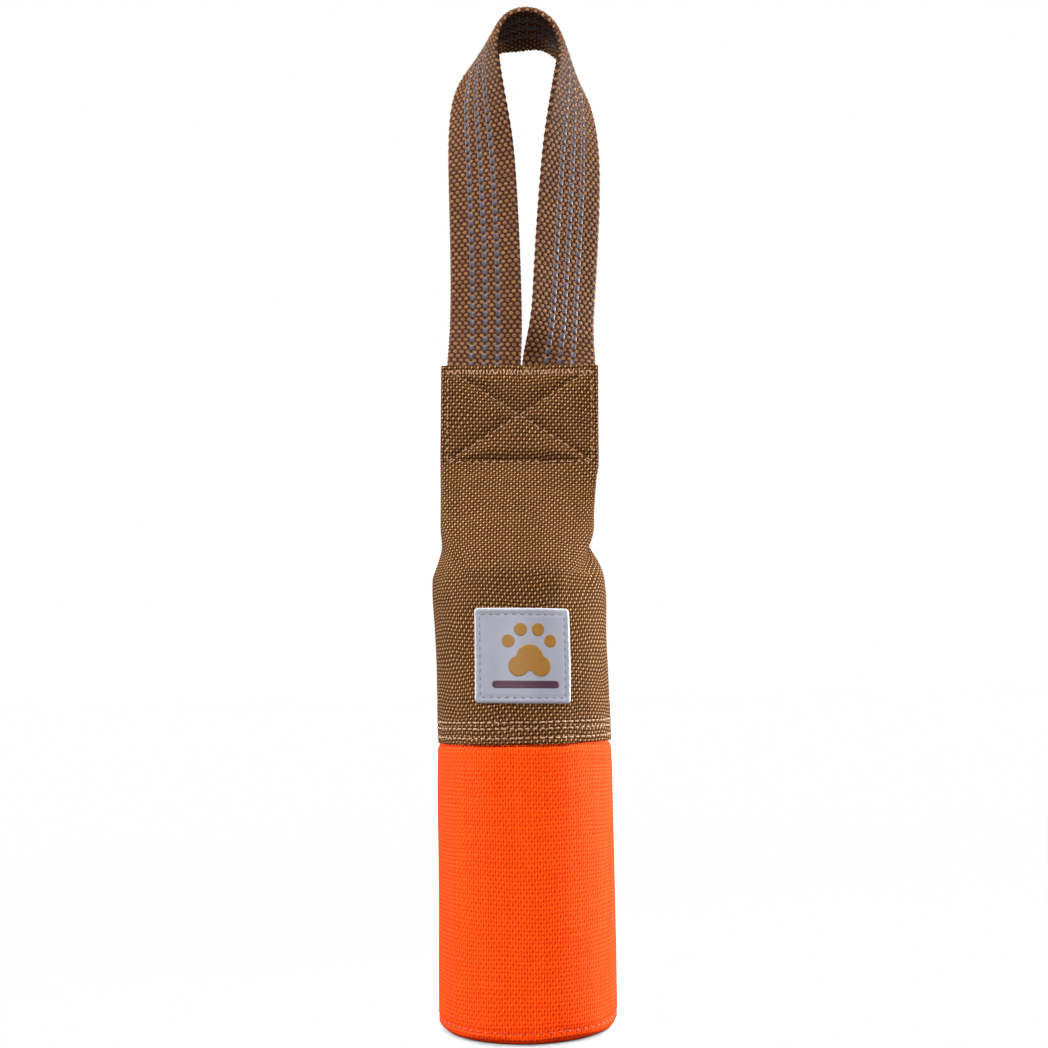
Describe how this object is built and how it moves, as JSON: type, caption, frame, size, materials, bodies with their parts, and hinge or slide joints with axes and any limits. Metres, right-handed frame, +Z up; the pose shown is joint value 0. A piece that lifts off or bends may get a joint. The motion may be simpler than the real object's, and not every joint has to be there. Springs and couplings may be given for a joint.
{
  "type": "training bumper",
  "caption": "Slender dog-training bumper: foam core in an orange and brown canvas sleeve, flattened and box-stitched round a twisted webbing hand loop.",
  "frame": {"origin": "centre of the base, on the surface that the bumper stands on", "axes": "+Z up along the core towards the hand loop, -Y is the side with the label, +X to the right when the label is seen from the front"},
  "size_m": [0.0594, 0.0599, 0.3488],
  "materials": {
    "foam": "closed-cell foam, matt, fine cells",
    "orange_canvas": "blaze orange coated polyester canvas, plain weave",
    "brown_canvas": "brown coated polyester canvas, plain weave",
    "orange_thread": "orange bonded thread",
    "brown_thread": "dark brown bonded thread",
    "tan_thread": "tan bonded thread",
    "label_film": "grey reflective film on cloth, matt with a soft return",
    "ochre_print": "printed ochre ink",
    "plum_print": "printed plum ink",
    "grey_thread": "grey thread",
    "webbing": "brown nylon webbing, coarse ribbed weave",
    "reflective_yarn": "lavender grey reflective yarn"
  },
  "bodies": {
    "bumper": {"foam_core": "foam", "orange_sleeve": "orange_canvas", "base_disc": "orange_canvas", "base_seam_thread": "orange_thread", "orange_seam_thread": "orange_thread", "brown_sleeve": "brown_canvas", "hem_turn_up": "brown_canvas", "hem_thread_lower": "tan_thread", "hem_thread_middle": "tan_thread", "hem_thread_upper": "tan_thread", "brown_seam_thread": "brown_thread", "label_patch": "label_film", "emblem_print": "ochre_print", "bar_print": "plum_print", "label_thread": "grey_thread", "waist_fabric": "brown_canvas"},
    "closure": {"closure_front_panel": "brown_canvas", "closure_back_panel": "brown_canvas", "left_gusset": "brown_canvas", "right_gusset": "brown_canvas", "left_strap_tail": "webbing", "right_strap_tail": "webbing", "closure_front_thread": "brown_thread", "closure_back_thread": "brown_thread"},
    "handle": {"handle_strap": "webbing", "reflective_yarns": "reflective_yarn"}
  },
  "joints": [
    {"name": "waist_fold", "type": "hinge", "parent": "bumper", "child": "closure", "pos_m": [0, 0, 0.166], "axis": [1, 0, 0], "range_deg": [-60, 60], "stiffness_Nm_per_rad": 0.06, "deforming": ["waist_fabric"]},
    {"name": "handle_fold", "type": "hinge", "parent": "closure", "child": "handle", "pos_m": [0, 0, 0.22475], "axis": [1, 0, 0], "range_deg": [-120, 120], "stiffness_Nm_per_rad": 0.02}
  ]
}
